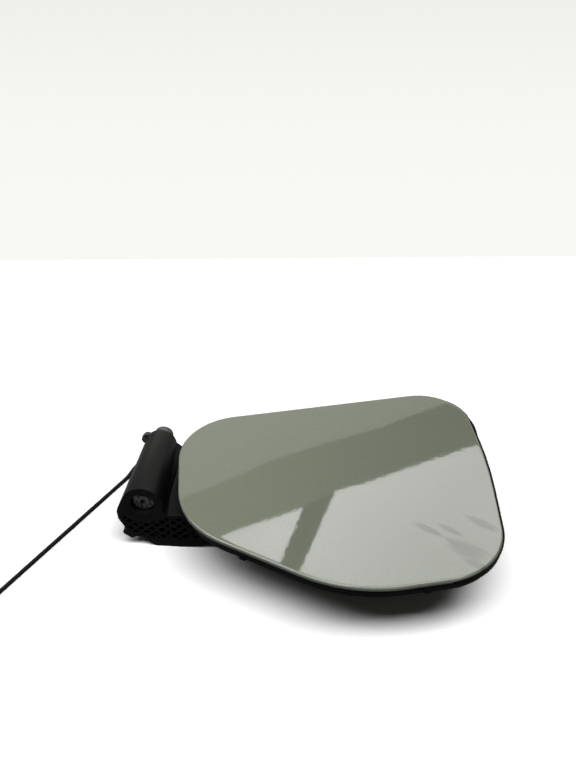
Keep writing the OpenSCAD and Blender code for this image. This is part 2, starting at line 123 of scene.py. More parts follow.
class NodeSheet:
    """Adds and links the nodes of one shader tree."""

    def __init__(self, tree: Tree) -> None:
        """Clears the tree of a material, a world or a group, and starts on it."""
        self.tree = tree
        tree.nodes.clear()

    def add(self, kind: str, sockets: dict | None = None, **settings: object) -> Node:
        """Adds one node.

        Args:
            kind: the node's type, without the common prefix.
            sockets: values of input sockets, by name or number.
            settings: the node's own attributes.

        Returns:
            The new node.
        """
        node = self.tree.nodes.new(kind if kind.startswith("NodeGroup") else f"ShaderNode{kind}")
        for name, value in settings.items():
            setattr(node, name, value)
        for name, value in (sockets or {}).items():
            node.inputs[name].default_value = value
        return node

    def after(self, source: Socket, kind: str, sockets: dict | None = None,
              **settings: object) -> Node:
        """Adds one node and links its first input."""
        node = self.add(kind, sockets, **settings)
        self.link(source, node.inputs[0])
        return node

    def place(self, group: Tree, **values: float) -> Node:
        """Adds a shared effect with its own values, by name in small letters."""
        return self.add("Group", {k.capitalize(): v for k, v in values.items()}, node_tree=group)

    def link(self, source: Socket, target: Socket) -> None:
        """Links an output socket to an input socket."""
        self.tree.links.new(source, target)

    def maths(self, operation: str, *terms: Socket | float, clamp: bool = False) -> Socket:
        """Adds a Math node.

        Args:
            operation: the node's operation.
            terms: sockets or plain numbers, in order.
            clamp: whether the result stays between 0 and 1.

        Returns:
            The result's socket.
        """
        node = self.add("Math", operation=operation, use_clamp=clamp)
        for place, term in zip(node.inputs, terms):
            if isinstance(term, (int, float)):
                place.default_value = term
            else:
                self.link(term, place)
        return node.outputs[0]

    def length(self, vector: Socket) -> Socket:
        """Returns the socket of a vector's length."""
        return self.after(vector, "VectorMath", operation="LENGTH").outputs["Value"]

    def ramp(self, value: Socket, low: float, high: float, to_low: float = 0.0,
             to_high: float = 1.0) -> Socket:
        """Maps a value from one range to another, smoothly and held at the ends.

        Args:
            value: the socket to map.
            low: start of the range that comes in.
            high: end of the range that comes in.
            to_low: what low becomes.
            to_high: what high becomes.

        Returns:
            The result's socket.
        """
        sockets = {1: low, 2: high, 3: to_low, 4: to_high}
        return self.after(value, "MapRange", sockets, interpolation_type="SMOOTHSTEP").outputs[0]

    def blend(self, share: Socket, first: Colour | Socket, second: Colour | Socket) -> Socket:
        """Mixes two colours.

        Args:
            share: how much of the second colour shows.
            first: a colour or a socket.
            second: a colour or a socket.

        Returns:
            The mixed colour's socket.
        """
        node = self.after(share, "Mix", data_type="RGBA")
        for place, colour in ((node.inputs[6], first), (node.inputs[7], second)):
            if isinstance(colour, tuple):
                place.default_value = (*colour, 1.0)
            else:
                self.link(colour, place)
        return node.outputs[2]


class SharedEffects:
    """Shader node groups that several finishes use, each with its own values."""

    def __init__(self) -> None:
        """Builds the groups once."""
        grain = {"Scale": 900.0, "Detail": 3.0, "Stretch": 1.0}
        marks = {"Scale": 20.0, "Cover": 0.5, "Softness": 0.1, "Stretch": 1.0, "Turn": 0.0}
        self.grain = self._group("surface_grain", grain, "Height", self._grain)
        self.marks = self._group("patchy_marks", marks, "Mask", self._marks)

    def _group(self, name: str, inputs: dict[str, float], output: str,
               fill: Callable[[NodeSheet, Node], Socket]) -> Tree:
        """Makes a group with float inputs and one float output.

        Args:
            name: the group's name.
            inputs: default values by socket name.
            output: the name of the output socket.
            fill: a method that adds the group's nodes and returns the result's socket.

        Returns:
            The group's tree.
        """
        tree = bpy.data.node_groups.new(name, "ShaderNodeTree")
        for label, value in inputs.items():
            socket = tree.interface.new_socket(label, in_out="INPUT", socket_type="NodeSocketFloat")
            socket.default_value = value
        tree.interface.new_socket(output, in_out="OUTPUT", socket_type="NodeSocketFloat")
        sheet = NodeSheet(tree)
        entry = sheet.add("NodeGroupInput")
        sheet.after(fill(sheet, entry), "NodeGroupOutput")
        return tree

    @staticmethod
    def _drawn_out(sheet: NodeSheet, entry: Node, place: Socket, axis: int, sockets: dict) -> Node:
        """Adds noise that the group's inputs scale, and draw out along one axis."""
        squeeze = sheet.add("CombineXYZ", dict.fromkeys(range(3), 1.0))
        sheet.link(sheet.maths("DIVIDE", 1.0, entry.outputs["Stretch"]), squeeze.inputs[axis])
        scaled = sheet.after(place, "VectorMath", operation="MULTIPLY")
        sheet.link(squeeze.outputs[0], scaled.inputs[1])
        noise = sheet.after(scaled.outputs[0], "TexNoise", sockets)
        sheet.link(entry.outputs["Scale"], noise.inputs["Scale"])
        return noise

    @staticmethod
    def _grain(sheet: NodeSheet, entry: Node) -> Socket:
        """Fine noise, which can be drawn out along Y as turning and drawing marks are."""
        place = sheet.add("TexCoord").outputs["Object"]
        noise = SharedEffects._drawn_out(sheet, entry, place, 1, {"Roughness": 0.6})
        sheet.link(entry.outputs["Detail"], noise.inputs["Detail"])
        return noise.outputs["Fac"]

    @staticmethod
    def _marks(sheet: NodeSheet, entry: Node) -> Socket:
        """Soft-edged patches, which can be drawn out into streaks along a turned X axis."""
        place = sheet.add("TexCoord").outputs["Object"]
        turned = sheet.after(place, "VectorRotate", rotation_type="Z_AXIS")
        sheet.link(sheet.maths("MULTIPLY", entry.outputs["Turn"], -1.0), turned.inputs["Angle"])
        fine = {"Detail": 6.0, "Roughness": 0.62, "Distortion": 0.4}
        noise = SharedEffects._drawn_out(sheet, entry, turned.outputs[0], 0, fine)
        limit = sheet.maths("SUBTRACT", 1.0, entry.outputs["Cover"])
        over = sheet.maths("SUBTRACT", noise.outputs["Fac"], limit)
        return sheet.maths("DIVIDE", over, entry.outputs["Softness"], clamp=True)


def blank_material(name: str) -> tuple[Material, NodeSheet]:
    """Makes an empty material, and returns it with its node sheet."""
    material = bpy.data.materials.new(name)
    material.use_nodes = True
    return material, NodeSheet(material.node_tree)


def new_material(name: str) -> tuple[Material, NodeSheet, Node]:
    """Makes a material that holds a Principled BSDF and an output.

    Args:
        name: the material's name.

    Returns:
        The material, its node sheet and the Principled BSDF.
    """
    material, sheet = blank_material(name)
    shader = sheet.add("BsdfPrincipled")
    sheet.after(shader.outputs[0], "OutputMaterial")
    return material, sheet, shader


def coat(sheet: NodeSheet, shader: Node, base: Socket, gloss: Socket, height: Socket,
         depth: float) -> None:
    """Feeds colour, roughness and bump to a shader.

    Args:
        sheet: the material's nodes.
        shader: the Principled BSDF.
        base: the colour.
        gloss: the roughness.
        height: the bump's height, from 0 to 1.
        depth: what a height of 1 stands for, in metres.
    """
    sheet.link(base, shader.inputs["Base Color"])
    sheet.link(gloss, shader.inputs["Roughness"])
    bump = sheet.add("Bump", {"Strength": 1.0, "Distance": depth})
    sheet.link(height, bump.inputs["Height"])
    sheet.link(bump.outputs[0], shader.inputs["Normal"])


@dataclass(frozen=True)
class MouldedFinish:
    """Moulded plastic, rubber or foam with a fine grain and a little dust."""

    name: str
    colour: Colour
    dust_colour: Colour = (0.045, 0.044, 0.042)
    specular: float = 0.3
    roughness: float = 0.42
    rubbed_roughness: float = 0.3
    grain_scale: float = 1500.0
    grain_depth: float = 0.04 * MM
    dust_cover: float = 0.36

    def material(self, effects: SharedEffects) -> Material:
        """Returns the finish as a new material."""
        material, sheet, shader = new_material(self.name)
        dust = sheet.place(effects.marks, scale=45.0, cover=self.dust_cover, softness=0.5)
        rubbed = sheet.place(effects.marks, scale=90.0, cover=0.5, softness=0.35)
        grain = sheet.place(effects.grain, scale=self.grain_scale, detail=2.0, stretch=1.0)
        base = sheet.blend(dust.outputs[0], self.colour, self.dust_colour)
        gloss = sheet.ramp(rubbed.outputs[0], 0.0, 1.0, self.roughness, self.rubbed_roughness)
        coat(sheet, shader, base, gloss, grain.outputs[0], self.grain_depth)
        shader.inputs["Specular IOR Level"].default_value = self.specular
        return material


@dataclass(frozen=True)
class MetalFinish:
    """Bare or plated steel with turning marks along the part and dull patches."""

    name: str
    colour: Colour
    dull_colour: Colour
    roughness: float = 0.3
    dull_roughness: float = 0.55
    dull_cover: float = 0.5
    mark_scale: float = 900.0
    mark_depth: float = 0.02 * MM
    stretch: float = 6.0

    def material(self, effects: SharedEffects) -> Material:
        """Returns the finish as a new material."""
        material, sheet, shader = new_material(self.name)
        shader.inputs["Metallic"].default_value = 1.0
        dull = sheet.place(effects.marks, scale=260.0, cover=self.dull_cover, softness=0.2)
        marks = sheet.place(effects.grain, scale=self.mark_scale, detail=2.0, stretch=self.stretch)
        base = sheet.blend(dull.outputs[0], self.colour, self.dull_colour)
        gloss = sheet.ramp(dull.outputs[0], 0.0, 1.0, self.roughness, self.dull_roughness)
        coat(sheet, shader, base, gloss, marks.outputs[0], self.mark_depth)
        return material


@dataclass(frozen=True)
class PaintFinish:
    """Metallic sage paint under clear lacquer, with orange peel, a few finger wipes and painted shade
    on its side wall.

    Each wipe is given by its middle, half its length and half its width, in millimetres.
    """

    name: str = "sage_paint"
    colour: Colour = (0.152, 0.165, 0.126)
    flake_colour: Colour = (0.188, 0.203, 0.16)
    flake_range: Pair = (0.35, 0.75)
    smudge_colour: Colour = (0.065, 0.073, 0.052)
    # Painted shade on the side wall: how much of the paint's colour it takes away, and the heights over
    # which it sets in
    edge_shade_share: float = 0.5
    edge_shade_levels: Pair = (9.8 * MM, 11.0 * MM)
    roughness: float = 0.03
    smudge_veil: float = 0.8
    smudge_roughness: float = 0.22
    peel_scale: float = 260.0
    peel_depth: float = 0.006 * MM
    wiped_along: float = math.radians(-32.0)
    wipe_frays: float = 0.5
    wipe_edge: Pair = (0.3, 0.9)
    wipe_least: float = 0.75
    wipes: tuple[tuple[float, float, float, float], ...] = (
        (187.5, -16.5, 14, 4.4), (177, -36, 16, 8.5), (170, -22.5, 12, 2.6), (158, -23, 12, 3.2),
        (181, -46, 12, 3.6))

    def material(self, effects: SharedEffects) -> Material:
        """Returns the finish as a new material."""
        material, sheet, shader = new_material(self.name)
        flakes = sheet.place(effects.grain, scale=2600.0, detail=1.0, stretch=1.0)
        peel = sheet.place(effects.grain, scale=self.peel_scale, detail=1.5, stretch=1.0)
        smears = sheet.place(effects.marks, scale=400.0, cover=0.5, softness=0.3, stretch=7.0,
                             turn=self.wiped_along)
        place = sheet.add("TexCoord").outputs["Object"]
        smudge = self._wiped(sheet, place, smears.outputs[0])
        sparkle = sheet.ramp(flakes.outputs[0], *self.flake_range)
        flaked = sheet.blend(sparkle, self.colour, self.flake_colour)
        veil = sheet.maths("MULTIPLY", smudge, self.smudge_veil)
        veiled = sheet.blend(veil, flaked, self.smudge_colour)
        height = sheet.after(place, "SeparateXYZ").outputs["Z"]
        # Painted shade: the paint turns darker down the side wall towards its lower edge, standing in
        # for the shade that falls there
        edge = sheet.ramp(height, *self.edge_shade_levels, 1.0 - self.edge_shade_share, 0.0)
        base = sheet.blend(edge, veiled, (0.0, 0.0, 0.0))
        gloss = sheet.maths("MULTIPLY_ADD", smudge, self.smudge_roughness, self.roughness)
        coat(sheet, shader, base, gloss, peel.outputs[0], self.peel_depth)
        return material

    def _wiped(self, sheet: NodeSheet, place: Socket, smears: Socket) -> Socket:
        """Masks the finger wipes near the free end, with edges that the smears fray."""
        frays = sheet.maths("MULTIPLY", smears, self.wipe_frays)
        masks = []
        for x, y, half_long, half_wide in self.wipes:
            sockets = {"Location": (x * MM, y * MM, 0.0), "Rotation": (0.0, 0.0, self.wiped_along),
                       "Scale": (half_long * MM, half_wide * MM, 1.0)}
            spot = sheet.after(place, "Mapping", sockets, vector_type="TEXTURE")
            frayed = sheet.maths("SUBTRACT", sheet.length(spot.outputs[0]), frays)
            masks.append(sheet.ramp(frayed, *self.wipe_edge, 1.0, 0.0))
        widest = masks[0]
        for mask in masks[1:]:
            widest = sheet.maths("MAXIMUM", widest, mask)
        return sheet.maths("MULTIPLY", widest, sheet.ramp(smears, 0.0, 1.0, self.wipe_least, 1.0))


FINISHES: dict[Slot, MouldedFinish | MetalFinish | PaintFinish] = {
    Slot.PAINT: PaintFinish(),
    Slot.BLACK: MouldedFinish(
        "carrier_black", (0.002, 0.002, 0.0022), roughness=0.5, dust_cover=0.22,
        dust_colour=(0.005, 0.005, 0.0048), specular=0.03),
    Slot.ARM: MouldedFinish(
        "arm_black", (0.0036, 0.0036, 0.004), roughness=0.4, dust_colour=(0.01, 0.01, 0.0098),
        specular=0.055),
    Slot.BUSH: MouldedFinish(
        "bush_grey", (0.03, 0.03, 0.031), roughness=0.4, grain_depth=0.01 * MM),
    Slot.SPACER: MouldedFinish(
        "spacer_natural", (0.6, 0.57, 0.5), roughness=0.45, dust_cover=0.2,
        dust_colour=(0.4, 0.38, 0.33), specular=0.5),
    Slot.FOAM: MouldedFinish(
        "foam_black", (0.03, 0.03, 0.032), roughness=0.85, rubbed_roughness=0.8,
        grain_scale=700.0, grain_depth=0.25 * MM),
    Slot.RUBBER: MouldedFinish(
        "rubber_black", (0.008, 0.008, 0.009), roughness=0.6, rubbed_roughness=0.5,
        grain_depth=0.02 * MM),
    Slot.ZINC: MetalFinish("zinc_steel", (0.52, 0.53, 0.54), (0.38, 0.37, 0.34), roughness=0.32),
    Slot.PIN: MetalFinish(
        "pin_steel", (0.08, 0.08, 0.084), (0.012, 0.012, 0.013), roughness=0.42, dull_cover=0.56),
    Slot.SPRING: MetalFinish(
        "spring_steel", (0.12, 0.12, 0.125), (0.05, 0.05, 0.052), roughness=0.35),
    Slot.CORD: MouldedFinish(
        "cord_black", (0.003, 0.003, 0.0035), roughness=0.55, rubbed_roughness=0.45,
        grain_depth=0.015 * MM, dust_cover=0.15, dust_colour=(0.01, 0.01, 0.01), specular=0.1),
}


def placed(name: str, data: bpy.types.ID) -> Object:
    """Makes an object of its data and links it to the scene."""
    item = bpy.data.objects.new(name, data)
    bpy.context.scene.collection.objects.link(item)
    return item


def mesh_object(mesh: BMesh, name: str) -> Object:
    """Makes an object of a finished mesh, which is freed."""
    data = bpy.data.meshes.new(name)
    mesh.to_mesh(data)
    mesh.free()
    return placed(name, data)


def verts_of(made: Iterable) -> list[Vert]:
    """Returns the corners among what an operator made."""
    return [item for item in made if isinstance(item, Vert)]


def edges_of(made: Iterable) -> list[Edge]:
    """Returns the edges among what an operator made."""
    return [item for item in made if isinstance(item, Edge)]


def filled(points: list[Triple]) -> BMesh:
    """Returns a flat mesh that fills a closed outline."""
    mesh = bmesh.new()
    rim = [mesh.verts.new(point) for point in points]
    edges = [mesh.edges.new(pair) for pair in zip(rim, rim[1:] + rim[:1])]
    bmesh.ops.triangle_fill(mesh, use_beauty=True, edges=edges)
    return mesh


def closed(mesh: BMesh, *rims: list[Edge]) -> BMesh:
    """Fills a mesh's open rims, turns its faces outwards and returns it."""
    for rim in rims:
        bmesh.ops.edgeloop_fill(mesh, edges=rim)
    bmesh.ops.recalc_face_normals(mesh, faces=mesh.faces)
    return mesh


def foot_of(low: Vector, high: Vector) -> Vector:
    """Returns the middle of a box's underside."""
    return Vector(((low.x + high.x) / 2, (low.y + high.y) / 2, low.z))


class PartShop:
    """Turns finished meshes into pieces that ride on the frame, and carries solids over."""

    def __init__(self, frame: dict) -> None:
        self.frame = frame
        self.effects = SharedEffects()
        self.materials = {slot: finish.material(self.effects) for slot, finish in FINISHES.items()}

    def piece(self, mesh: BMesh, name: str, slot: Slot, replaces: tuple[str, ...] = (),
              crease: float = 35.0, body: Body = Body.FLAP) -> Object:
        """Makes an object of a finished mesh and puts it on its body.

        Args:
            mesh: the finished mesh, which is freed.
            name: the piece's name.
            slot: the finish that it gets.
            replaces: the solid nodes that it stands for.
            crease: edges sharper than this many degrees stay sharp in the shading.
            body: the body that it rides on.

        Returns:
            The new object.
        """
        for face in mesh.faces:
            face.smooth = True
        for edge in mesh.edges:
            edge.smooth = len(edge.link_faces) == 2 and edge.calc_face_angle(0.0) < math.radians(crease)
        return self.mounted(mesh_object(mesh, name), slot, replaces, body)

    def mounted(self, item: Object, slot: Slot, replaces: tuple[str, ...] = (),
                body: Body = Body.FLAP) -> Object:
        """Dresses a mesh or curve object, lets it ride on its body and returns it."""
        item.data.materials.append(self.materials[slot])
        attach(item, body.value)
        if replaces:
            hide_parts(*replaces)
        log.info("%s rides on %s", item.name, body.value)
        return item

    def solid(self, node: str) -> BMesh:
        """Returns a copy of a solid's mesh with its triangles joined where they lie flat."""
        mesh = bmesh.new()
        mesh.from_mesh(self.frame["nodes"][node].data)
        bmesh.ops.remove_doubles(mesh, verts=mesh.verts, dist=WELD)
        bmesh.ops.dissolve_limit(mesh, angle_limit=FLAT, verts=mesh.verts, edges=mesh.edges)
        return mesh

    def softened(self, node: str, name: str, slot: Slot, round_off: float,
                 body: Body = Body.FLAP) -> Object:
        """Carries a solid over with its sharp edges rounded, as moulding and deburring leave them.

        Args:
            node: the solid's node.
            name: the new piece's name.
            slot: the finish that it gets.
            round_off: width of the rounding, in millimetres.
            body: the body that it rides on.

        Returns:
            The new object.
        """
        mesh = self.solid(node)
        sharp = [e for e in mesh.edges if len(e.link_faces) == 2 and e.calc_face_angle(0.0) > SHARP]
        bmesh.ops.bevel(mesh, geom=sharp, offset=round_off * MM, segments=2, **BEVEL)
        return self.piece(mesh, name, slot, (node,), body=body)

    def islands(self, node: str) -> list[tuple[Vector, Vector]]:
        """Returns the lowest and highest corner of each separate solid of a node."""
        mesh = self.solid(node)
        left = set(mesh.verts)
        found = []
        while left:
            front = [left.pop()]
            group = list(front)
            while front:
                vert = front.pop()
                near = {edge.other_vert(vert) for edge in vert.link_edges} & left
                left -= near
                front.extend(near)
                group.extend(near)
            found.append(tuple(Vector(pick(v.co[i] for v in group) for i in range(3))
                               for pick in (min, max)))
        mesh.free()
        return sorted(found, key=lambda box: tuple(box[0]))


def spun(profile: list[Pair], axis_at: Vector, along: Vector, steps: int) -> BMesh:
    """Turns a profile into a round body.

    Args:
        profile: pairs of radius and distance along the axis.
        axis_at: the point on the axis at distance 0.
        along: the axis, of length 1.
        steps: faces round the body.

    Returns:
        The mesh, which is open where its profile doesn't reach the axis.
    """
    mesh = bmesh.new()
    out = along.orthogonal().normalized()
    verts = [mesh.verts.new(axis_at + out * r + along * d) for r, d in profile]
    edges = [mesh.edges.new(pair) for pair in zip(verts, verts[1:])]
    bmesh.ops.spin(mesh, geom=verts + edges, cent=axis_at, axis=along, angle=math.tau, steps=steps,
                   use_merge=True)
    bmesh.ops.remove_doubles(mesh, verts=mesh.verts, dist=FINE_WELD)
    return closed(mesh)


def grown(mesh: BMesh, edges: list[Edge], centre: Vector, shift: Vector,
          factor: float) -> tuple[list[Edge], Vector]:
    """Draws an open rim out by one ring.

    Args:
        mesh: the mesh that the rim is on.
        edges: the rim's edges.
        centre: the rim's middle.
        shift: how far the new rim moves.
        factor: how much wider the new rim is.

    Returns:
        The new rim's edges and its middle.
    """
    made = bmesh.ops.extrude_edge_only(mesh, edges=edges)["geom"]
    verts = verts_of(made)
    bmesh.ops.scale(mesh, verts=verts, vec=(factor,) * 3, space=Matrix.Translation(-centre))
    bmesh.ops.translate(mesh, verts=verts, vec=shift)
    return edges_of(made), centre + shift


@dataclass
class CoverPanel:
    """The painted cover: a side wall, a rolled edge and a slightly crowned face.

    Each corner of its outline is given by its X, Y and radius in millimetres, and so is how far the
    paint gives way there to the black edge trim. A narrow first ring of the crown, rim_share wide,
    keeps the shading even up to the rolled edge.
    """

    shop: PartShop
    corners: tuple[Triple, ...] = (
        (163, 71.2, 29.2), (54, 32.5, 38), (70.5, 7.5, 50), (125.5, 16.5, 81), (159.5, -18.5, 39),
        (-121.6, 11, 320))
    trimmed: tuple[float, ...] = (0.4, 0.0, 0.0, 0.0, 0.8, 0.8)
    trim_rise: float = 1.7 * MM
    trim_from: float = 165 * MM
    trim_fade: float = 18 * MM
    trim_least: float = 0.1
    middle: Vector = field(default_factory=lambda: Vector((112, 14, 0)) * MM)
    roll: float = 1.4 * MM
    wall: float = 1.2 * MM
    crown: float = 0.8 * MM
    crown_rings: int = 14
    rim_share: float = 0.985
    arc_step: float = 3.0

    def outline(self, share: float = 0.0) -> list[Vector]:
        """Returns an outline, counter-clockwise, as arcs round the corners.

        Args:
            share: how much of the trim's width the outline gives way to, from 0 to 1.

        Returns:
            The outline's points.
        """
        spots = [(Vector((x - share * back, y)) * MM, r * MM)
                 for (x, y, r), back in zip(self.corners, self.trimmed)]
        points = []
        for last, here, following in zip(spots[-1:] + spots[:-1], spots, spots[1:] + spots[:1]):
            start, end = self._run_normal(last, here), self._run_normal(here, following)
            end += math.tau * (end < start)
            steps = math.ceil(math.degrees(end - start) / self.arc_step)
            for i in range(steps + 1):
                angle = start + (end - start) * i / steps
                points.append(here[0] + here[1] * Vector((math.cos(angle), math.sin(angle))))
        return points

    @staticmethod
    def _run_normal(a: tuple[Vector, float], b: tuple[Vector, float]) -> float:
        """Returns the angle of the outward normal on the straight run from one corner to the next."""
        step = b[0] - a[0]
        return math.atan2(step.y, step.x) - math.acos((a[1] - b[1]) / step.length)

    def build(self) -> None:
        """Builds the cover and puts it in place of its solid."""
        low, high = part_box("cover_skin")
        mesh = bmesh.new()
        rim = [mesh.verts.new((p.x, p.y, low.z)) for p in self.outline(1.0)]
        base = bmesh.ops.contextual_create(mesh, geom=rim)["faces"][0]
        made = bmesh.ops.extrude_face_region(mesh, geom=[base])["geom"]
        bmesh.ops.translate(mesh, verts=verts_of(made), vec=(0, 0, high.z - self.crown - low.z))
        top = max(mesh.faces, key=lambda f: (f.calc_center_median().z, f.calc_area()))
        bmesh.ops.bevel(mesh, geom=list(top.edges), offset=self.roll, segments=9, **BEVEL)
        high_up = [f for f in mesh.faces if f.calc_center_median().z > low.z + self.roll]
        self._raise_crown(mesh, max(high_up, key=lambda f: f.calc_area()))
        floor = [f for f in mesh.faces if all(abs(v.co.z - low.z) < LEVEL_GAP for v in f.verts)]
        bmesh.ops.delete(mesh, geom=floor, context="FACES_ONLY")
        closed(mesh)
        if max(mesh.faces, key=lambda f: f.calc_area()).normal.z < 0:
            bmesh.ops.reverse_faces(mesh, faces=mesh.faces)
        bmesh.ops.solidify(mesh, geom=mesh.faces, thickness=self.wall)
        self.shop.piece(mesh, "cover_panel", Slot.PAINT, ("cover_skin",), crease=50.0)
        self._trim(low.z)

    def _trim(self, level: float) -> None:
        """Builds the thin black edge trim beyond the paint, up from the cover's lower edge."""
        ways = [[p for p in self.outline(share) if p.x > self.trim_from] for share in (0.0, 1.0)]
        outer, inner = (sorted(way, key=lambda p: p.y) for way in ways)
        mesh = filled([(p.x, p.y, level) for p in outer + inner[::-1]])
        made = bmesh.ops.extrude_face_region(mesh, geom=mesh.faces[:])["geom"]
        for vert in verts_of(made):
            share = min(1.0, self.trim_least + (vert.co.x - self.trim_from) / self.trim_fade)
            vert.co.z += self.trim_rise * share
        self.shop.piece(closed(mesh), "edge_trim", Slot.BLACK, ("inner_carrier",))

    def _raise_crown(self, mesh: BMesh, top: bmesh.types.BMFace) -> None:
        """Steps the flat top in towards its middle, each ring a little higher than the last."""
        centre = Matrix.Translation(-self.middle)
        share = 1.0
        rings = [1.0 - ring / self.crown_rings for ring in range(1, self.crown_rings)]
        for inner in (self.rim_share, *rings):
            top = bmesh.ops.extrude_discrete_faces(mesh, faces=[top])["faces"][0]
            factor = inner / share
            bmesh.ops.scale(mesh, verts=top.verts, vec=(factor, factor, 1.0), space=centre)
            rise = self.crown * (share ** 2 - inner ** 2)
            bmesh.ops.translate(mesh, verts=top.verts, vec=(0, 0, rise))
            share = inner


@dataclass
class LobedScrew:
    """A pan-head screw with a six-lobed socket, head down.

    Its head's curve is given by shares of the head's radius and height.
    """

    socket_share: float = 0.45
    socket_depth: float = 0.55
    socket_lip: float = 0.94
    lobe: float = 0.13
    tip: float = 0.4
    around: int = 36
    curve: tuple[Pair, ...] = ((0.7, 0.0), (0.86, 0.1), (0.96, 0.35), (1.0, 0.7), (1.0, 1.0))

    def mesh(self, low: Vector, high: Vector, shank: float, head: float) -> BMesh:
        """Builds one screw.

        Args:
            low: lowest corner of the screw's solid.
            high: highest corner of the screw's solid.
            shank: radius of the shank.
            head: height of the head.

        Returns:
            The closed mesh.
        """
        axis = foot_of(low, high)
        wide = (high.x - low.x) / 2
        tall = high.z - low.z
        profile = [(wide * self.socket_share, 0.0)]
        profile += [(wide * across, head * up) for across, up in self.curve]
        profile += [(shank, head), (shank, tall - shank * self.tip), (shank * (1.0 - self.tip), tall),
                    (0.0, tall)]
        mesh = spun(profile, axis, Vector((0, 0, 1)), self.around)
        rim = [e for e in mesh.edges if e.is_boundary]
        rim, _ = grown(mesh, rim, axis, Vector(), self.socket_lip)
        self._shape_lobes({v for e in rim for v in e.verts}, axis)
        rim, _ = grown(mesh, rim, axis, Vector((0, 0, head * self.socket_depth)), 1.0)
        return closed(mesh, rim)

    def _shape_lobes(self, verts: set[Vert], axis: Vector) -> None:
        """Draws a round rim in and out six times."""
        for vert in verts:
            arm = vert.co - axis
            angle = math.atan2(arm.y, arm.x)
            arm *= 1.0 + self.lobe * math.cos(6 * angle) - self.lobe
            vert.co = axis + arm


@dataclass
class Underside:
    """What sits under the cover: carrier, foam, plate, screws, lock hook, buffers and cap holder.

    The dome and groove of a buffer are given by shares of its radius and heights in millimetres.
    """

    shop: PartShop
    screw: LobedScrew = field(default_factory=LobedScrew)
    dome: tuple[Pair, ...] = (
        (0.0, 0.0), (0.3, 0.5), (0.58, 1.1), (0.8, 2.4), (0.9, 4.2), (0.78, 4.7), (0.78, 5.5),
        (0.94, 6.0), (1.0, 7.2))
    stem: float = 2.5 * MM
    barb: float = 3.4 * MM
    barb_rise: float = 2.2 * MM
    stem_end: float = 1.6 * MM

    def build(self) -> None:
        """Builds every piece of the underside."""
        soften = self.shop.softened
        soften("inner_carrier", "carrier_tray", Slot.BLACK, 0.2)
        soften("foam_pads", "foam_strips", Slot.FOAM, 0.3)
        soften("backing_plate", "spread_plate", Slot.ZINC, 0.15)
        soften("lock_striker", "lock_hook", Slot.BLACK, 0.5)
        soften("striker_pin", "hook_cross_pin", Slot.ZINC, 0.3)
        soften("cap_holder", "cap_clip", Slot.BLACK, 0.35)
        self._screws("arm_screws", 1.9 * MM, 2.6 * MM)
        self._screws("striker_screws", 1.9 * MM, 2.2 * MM)
        self._screws("cap_holder_screw", 1.8 * MM, 2.0 * MM)
        self._buffers()

    def _screws(self, node: str, shank: float, head: float) -> None:
        """Builds one detailed screw for each solid screw, from its shank's radius and head's height."""
        for count, (low, high) in enumerate(self.shop.islands(node), 1):
            name = f"{node.rstrip('s')}_{count}"
            mesh = self.screw.mesh(low, high, shank, head)
            self.shop.piece(mesh, name, Slot.ZINC, (node,), crease=40.0)

    def _buffers(self) -> None:
        """Builds the rubber buffers, with a groove above the dome and a snap-in stem."""
        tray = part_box("lock_striker")[1].z
        for count, (low, high) in enumerate(self.shop.islands("bump_stops"), 1):
            wide = (high.x - low.x) / 2
            tall = tray - low.z
            clip = tall + self.barb_rise
            profile = [(wide * across, up * MM) for across, up in self.dome]
            profile += [(wide, tall), (self.stem, tall), (self.stem, clip), (self.barb, clip),
                        (self.stem_end, high.z - low.z), (0.0, high.z - low.z)]
            mesh = spun(profile, foot_of(low, high), Vector((0, 0, 1)), 40)
            self.shop.piece(mesh, f"buffer_{count}", Slot.RUBBER, ("bump_stops",), crease=60.0)


